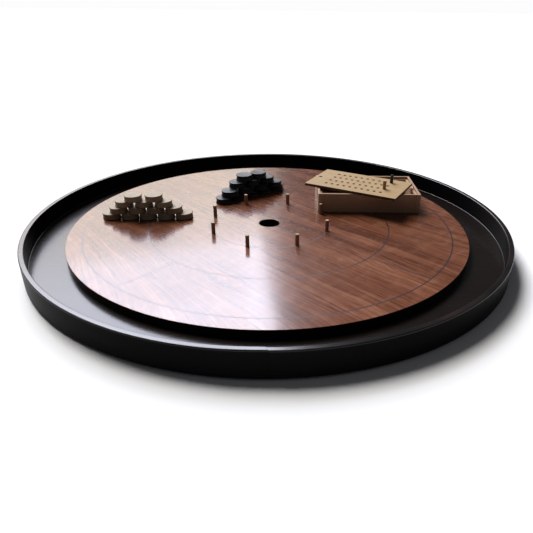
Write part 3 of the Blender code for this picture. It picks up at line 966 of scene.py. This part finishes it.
# %% Make the lid
LID_WIDTH, LID_DEPTH = 0.1740, 0.1010
LID_TURN = math.radians(-28.2)
SCORE_COLUMNS, SCORE_ROWS = 10, 4
SCORE_COLUMN_PITCH, SCORE_ROW_PITCH = 0.0117, 0.0202
SCORE_HOLE_RADIUS, SCORE_HOLE_DEPTH = 0.0023, 0.0034
PULL_HOLE_RADIUS, PULL_HOLE_INSET = 0.0026, 0.0087
SCORE_BIT_SIDES, PULL_BIT_SIDES = 20, 24
COUNTERSINK = 0.0006
BIT_MARGIN = 0.001
LID_EASING = 0.0003
lid_centre = np.array((LID_LOW + LID_HIGH) / 2)
lid_along = (math.cos(LID_TURN), math.sin(LID_TURN))
lid_axes = np.array([lid_along, (-lid_along[1], lid_along[0])])


def on_lid(places):
    """Turns places measured from the lid's centre into the scene."""
    return np.asarray(places, float) @ lid_axes + lid_centre[:2]


half_x, half_y = LID_WIDTH / 2, LID_DEPTH / 2
plate = plank("pegboard_lid", (-half_x, -half_y, LID_LOW.z), (half_x, half_y, LID_HIGH.z))
turned_points = positions(plate)
turned_points[:, :2] = on_lid(turned_points[:, :2])
plate.data.vertices.foreach_set("co", turned_points.astype(np.float32).ravel())
sanded(plate, LID_EASING, 2)
dress(plate, LID_WOOD, BORE_PAINTED_SHADE)

column = (np.arange(SCORE_COLUMNS) - (SCORE_COLUMNS - 1) / 2) * SCORE_COLUMN_PITCH
row = (np.arange(SCORE_ROWS) - (SCORE_ROWS - 1) / 2) * SCORE_ROW_PITCH
hole_places = on_lid(np.stack(np.meshgrid(column, row), axis=-1).reshape(-1, 2))


def drill_bit(radius, bottom, top):
    """A drill's section that widens to a small countersink at the wood's top face."""
    over = top + BIT_MARGIN
    wide = radius + COUNTERSINK + BIT_MARGIN
    return [(0, bottom), (radius, bottom), (radius, top - COUNTERSINK), (wide, over), (0, over)]


score_section = drill_bit(SCORE_HOLE_RADIUS, LID_HIGH.z - SCORE_HOLE_DEPTH, LID_HIGH.z)
score_bits = turned("score_bits", score_section, SCORE_BIT_SIDES, hole_places)
pull_section = drill_bit(PULL_HOLE_RADIUS, LID_LOW.z - BIT_MARGIN, LID_HIGH.z)
pull_place = on_lid([(PULL_HOLE_INSET - half_x, 0)])
pull_bit = turned("pull_bit", pull_section, PULL_BIT_SIDES, pull_place)
for bits in (score_bits, pull_bit):
    dress(bits, BORE_PAINTED_SHADE)
cut(plate, score_bits, pull_bit)
lid_points = positions(plate)
from_centre = np.abs((lid_points[:, :2] - lid_centre[:2]) @ lid_axes.T)
near_edge = np.minimum(half_x - from_centre[:, 0], half_y - from_centre[:, 1]) < LID_EASING / 2
# All four edges of the lid are marked as end, so they take the lid's very dark edge colour.
lay_grain(plate, lid_centre, (*lid_along, 0), end=near_edge.astype(float))
stand_for(plate, "box_lid", "lid")

# %% Make the score pegs
SCORE_STUB_RADIUS = 0.0020
SCORE_PEG_SIDES = 24

for name, wood, slot_name in (("light", PEG_WOOD, "peg_wood"), ("dark", DARK_DISC_WOOD, "dark_disc_stain")):
    node = f"score_peg_{name}"
    low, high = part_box(node)
    centre = (low + high) / 2
    radius = (high.x - low.x) / 2
    shoulder = LID_HIGH.z + CLEARANCE
    corners = [
        (0, low.z),
        (SCORE_STUB_RADIUS, low.z),
        (SCORE_STUB_RADIUS, shoulder),
        (radius, shoulder),
        (radius, high.z),
        (0, high.z),
    ]
    outline = rounded(corners, [0, EASED, 0, CRISP, BROKEN, 0], 4)
    marker = settle(turned(f"{name}_score_peg", outline, SCORE_PEG_SIDES, [(centre.x, centre.y)]))
    lay_grain(marker, centre, (0, 0, 1), up=(1, 0, 0))
    dress(marker, wood)
    stand_for(marker, node, node)

# %% [markdown]
# ## Under the board
#
# Four rubber feet keep the board from sliding, and four countersunk screws hold the playing core down. The
# screws are hidden until the board is lifted, but a piece that can be unscrewed should look it: the head
# has a cross recess, and the thread is a real helix, a surface of two parameters whose radius swells
# wherever the height in pitches less the angle in turns is halfway between two whole numbers.

# %% Finish: rubber and zinc-plated steel


def black_rubber(name):
    """Matt rubber with a fine moulded grain and pale dust."""
    material, root = new_finish(name)
    own = coordinates(root)
    grit = noise(stretched(own, 1500, 1500, 1500), 2.0, 0.6)
    dust = step(noise(stretched(own, 160, 160, 160), 3.0, 0.6), 0.50, 0.80)
    tone = blend(dust * 0.5, (0.020, 0.020, 0.021), (0.085, 0.080, 0.074))
    rough = 0.78 + grit * 0.15
    surface(root, {"Specular IOR Level": 0.3}, {"Base Color": tone, "Roughness": rough}, grit, 0.00008)
    return material


def zinc_steel(name):
    """Plated steel with a faint yellow cast, cloudy gloss and drawing marks."""
    material, root = new_finish(name)
    own = coordinates(root)
    cloud = noise(stretched(own, 500, 500, 500), 3.0, 0.6)
    marks = noise(stretched(own, 900, 900, 6000), 1.0, 0.5)
    tone = blend(cloud, (0.62, 0.58, 0.47), (0.44, 0.42, 0.38))
    rough = 0.26 + cloud * 0.22
    surface(root, {"Metallic": 1.0}, {"Base Color": tone, "Roughness": rough}, marks, 0.00002)
    return material


RUBBER = black_rubber("foot_rubber_moulded")
ZINC = zinc_steel("screw_zinc_plate")

# %% Make the feet
FOOT_RADIUS, FOOT_TAPER, FOOT_ARC = 0.0150, 0.0008, 0.0010
HOLLOW_INNER, HOLLOW_OUTER, HOLLOW_DEPTH = 0.0062, 0.0070, 0.0006
FOOT_SIDES = 48

for number in range(1, 5):
    low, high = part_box(f"foot_{number}")
    centre = (low + high) / 2
    corners = [
        (0, low.z + HOLLOW_DEPTH),
        (HOLLOW_INNER, low.z + HOLLOW_DEPTH),
        (HOLLOW_OUTER, low.z),
        (FOOT_RADIUS - FOOT_TAPER, low.z),
        (FOOT_RADIUS, high.z),
        (0, high.z),
    ]
    outline = rounded(corners, [0, CRISP, CRISP, FOOT_ARC, CRISP, 0], 4)
    foot = settle(turned(f"rubber_foot_{number}", outline, FOOT_SIDES, [(centre.x, centre.y)]))
    dress(foot, RUBBER)
    stand_for(foot, f"foot_{number}", "board")

# %% Make the screws
THREAD_PITCH = 0.0014
THREAD_DEPTH = 0.0006
THREAD_START, THREAD_FADE = 0.001, 0.0006
THREAD_SIDES, THREAD_ROWS = 40, 90
HEAD_LIP = 0.0002
SCREW_POINT = 0.0030
POINT_RADIUS = 0.0003
RECESS_ARM, RECESS_REACH, RECESS_DEPTH = 0.00045, 0.0021, 0.0016


def screw_points(place, bottom, top):
    """A countersunk screw, head down, as a grid of angle by height.

    The outline's radius is the head, then the cone, then the shank, then the point. Along the shank it
    swings between the shank radius and that less the thread's depth, following a triangle wave of
    height / pitch - angle / full turn, so that the crest climbs as a helix.
    """
    angle = np.arange(THREAD_SIDES)[:, None] * math.tau / THREAD_SIDES
    cone_top = bottom + SCREW_HEAD - SCREW_SHANK
    head = np.array([bottom, bottom + HEAD_LIP, cone_top])
    height = np.concatenate([head, np.linspace(cone_top + 2 * HEAD_LIP, top, THREAD_ROWS)])
    stops = [bottom, bottom + HEAD_LIP, cone_top, top - SCREW_POINT, top]
    widths = [SCREW_HEAD - HEAD_LIP, SCREW_HEAD - HEAD_LIP / 2, SCREW_SHANK, SCREW_SHANK, POINT_RADIUS]
    outline = np.interp(height, stops, widths)
    turns = height / THREAD_PITCH - angle / math.tau
    wave = np.abs(2 * (turns - np.floor(turns)) - 1)
    thread_ends = [cone_top, cone_top + THREAD_START, top - THREAD_FADE, top]
    cutting = np.interp(height, thread_ends, [0, 1, 1, 0])
    radius = outline - np.minimum(THREAD_DEPTH * wave**0.7, outline * 0.45) * cutting
    x, y = radius * np.cos(angle) + place[0], radius * np.sin(angle) + place[1]
    return np.stack(np.broadcast_arrays(x, y, height), axis=-1)


for number, place in enumerate(screw_places, 1):
    points = screw_points(place, SCREW_LOW, SCREW_TOP)
    rows, columns = points.shape[:2]
    faces = grid_faces(rows, columns, True, False).tolist()
    faces.append((np.arange(rows)[::-1] * columns).tolist())
    faces.append((np.arange(rows) * columns + columns - 1).tolist())
    screw = make_piece(f"countersunk_screw_{number}", points, faces)
    for length_x, length_y in ((RECESS_REACH, RECESS_ARM), (RECESS_ARM, RECESS_REACH)):
        slot_low = (place[0] - length_x, place[1] - length_y, SCREW_LOW - BIT_MARGIN)
        slot_high = (place[0] + length_x, place[1] + length_y, SCREW_LOW + RECESS_DEPTH)
        cut(screw, plank("recess", slot_low, slot_high))
    dress(screw, ZINC)
    stand_for(screw, f"assembly_screw_{number}", "board")

# %% [markdown]
# ## The floor
#
# The board lies on a plain pale floor. It is far wider than the board, so that its edges stay a long way
# off, and it is almost matt, so that it shows a soft shadow and no reflection. It isn't part of the object.

# %% Make the floor
FLOOR_HALF = 14.0


def pale_floor(name):
    """Plain off-white floor with a barely uneven gloss."""
    material, root = new_finish(name)
    own = coordinates(root)
    cloud = noise(stretched(own, 3, 3, 3), 2.0, 0.5)
    tone = blend(cloud, (0.91, 0.91, 0.91), (0.94, 0.94, 0.94))
    surface(root, {"Specular IOR Level": 0.1}, {"Base Color": tone, "Roughness": 0.75 + cloud * 0.1})
    return material


corners = [(-1, -1, 0), (1, -1, 0), (1, 1, 0), (-1, 1, 0)]
floor = make_piece("studio_floor", np.array(corners, float) * FLOOR_HALF, [[0, 1, 2, 3]])
dress(floor, pale_floor("pale_floor"))
print("floor:", 2 * FLOOR_HALF, "m wide")

# %% [markdown]
# ## The light
#
# A large soft window behind and to the left lays a broad sheen over the lacquer and the veneer. It is four
# strips, brighter and cooler towards the top, because a real window shows sky above and ground below, and a
# dim strip beside each is the edge of a curtain, so that the sheen fades out softly. The window stands far
# off, so its sheen has the same edge all over the board. A broad sun from the same side lights the tops and
# gives soft shadows towards the front, and the fronts stay in gentle shade. The air itself is dim, apart
# from a pale horizon, though the camera sees it white.

# %% Make the lights
WINDOW_DISTANCE = 24.0
WARM_GROUND, COOL_SKY = (1.0, 0.93, 0.80), (0.84, 0.857, 1.0)
WINDOW_STRIPS = (
    (12, 19, 2.0, WARM_GROUND),
    (19, 25, 2.8, WARM_GROUND),
    (25, 31, 8.06, COOL_SKY),
    (31, 50, 11.76, COOL_SKY),
)
WINDOW_SPANS = ((-38.0, -4.5, 1.0), (-4.5, -1.0, 0.30))


def place_lamp(name, lamp, azimuth, elevation, distance):
    """Puts a lamp at an azimuth from +Y towards +X and an elevation above the horizon, facing the board."""
    a, e = math.radians(azimuth), math.radians(elevation)
    holder = bpy.data.objects.new(name, lamp)
    bpy.context.scene.collection.objects.link(holder)
    holder.location = np.array((math.sin(a) * math.cos(e), math.cos(a) * math.cos(e), math.sin(e))) * distance
    holder.rotation_euler = (math.pi / 2 - e, 0.0, math.pi - a)
    holder.visible_camera = False


for low, high, radiance, colour in WINDOW_STRIPS:
    for left, right, share in WINDOW_SPANS:
        name = f"window_{low}_{-left:.0f}"
        lamp = bpy.data.lights.new(name, "AREA")
        lamp.shape = "RECTANGLE"
        lamp.size = 2 * WINDOW_DISTANCE * math.tan(math.radians(right - left) / 2)
        lamp.size_y = 2 * WINDOW_DISTANCE * math.tan(math.radians(high - low) / 2)
        lamp.energy = share * radiance * math.pi * lamp.size * lamp.size_y
        lamp.color = colour
        place_lamp(name, lamp, (left + right) / 2, (low + high) / 2, WINDOW_DISTANCE)

SUN_AZIMUTH, SUN_ELEVATION = -42, 55
sun = bpy.data.lights.new("soft_sun", "SUN")
sun.angle = math.radians(26)
sun.energy = 2.8
sun.color = (1.0, 0.985, 0.96)
place_lamp("soft_sun", sun, SUN_AZIMUTH, SUN_ELEVATION, 10)

world = bpy.data.worlds.new("studio_air")
world.use_nodes = True
air = Wire(world.node_tree)
_, _, upward = parts(air.node("ShaderNodeTexCoord", {}, {}, "Generated"))
glow = blend(step(upward, 0.16, 0.05), (0.062, 0.063, 0.067), (0.18, 0.18, 0.18))
glow = blend(air.node("ShaderNodeLightPath", {}, {}, "Is Camera Ray"), glow, (0.98, 0.98, 0.98))
air.tree.links.new(glow.socket, world.node_tree.nodes["Background"].inputs["Color"])
bpy.context.scene.world = world
bpy.context.scene.view_settings.view_transform = "Standard"
print("lamps:", len(bpy.data.lights))

# %% [markdown]
# ## The camera
#
# The camera stands close in front of the board and a little above it, as a person at the table does, so the
# near rim looks much wider than the far one. A slightly wide lens keeps the whole board in the frame, and a
# small shift moves the board to the middle without tilting the camera any further.

# %% Make the camera
camera_data = bpy.data.cameras.new("camera")
camera_data.sensor_width = 36.0
camera_data.lens = 35.25
camera_data.shift_x = -0.0354
camera_data.shift_y = 0.0433
camera = bpy.data.objects.new("camera", camera_data)
camera.location = (0.0289, -0.8397, 0.3683)
camera.rotation_euler = (math.radians(60.548), math.radians(-0.599), math.radians(0.338))
bpy.context.scene.collection.objects.link(camera)
bpy.context.scene.camera = camera
print("camera:", tuple(camera.location), "lens:", camera_data.lens)
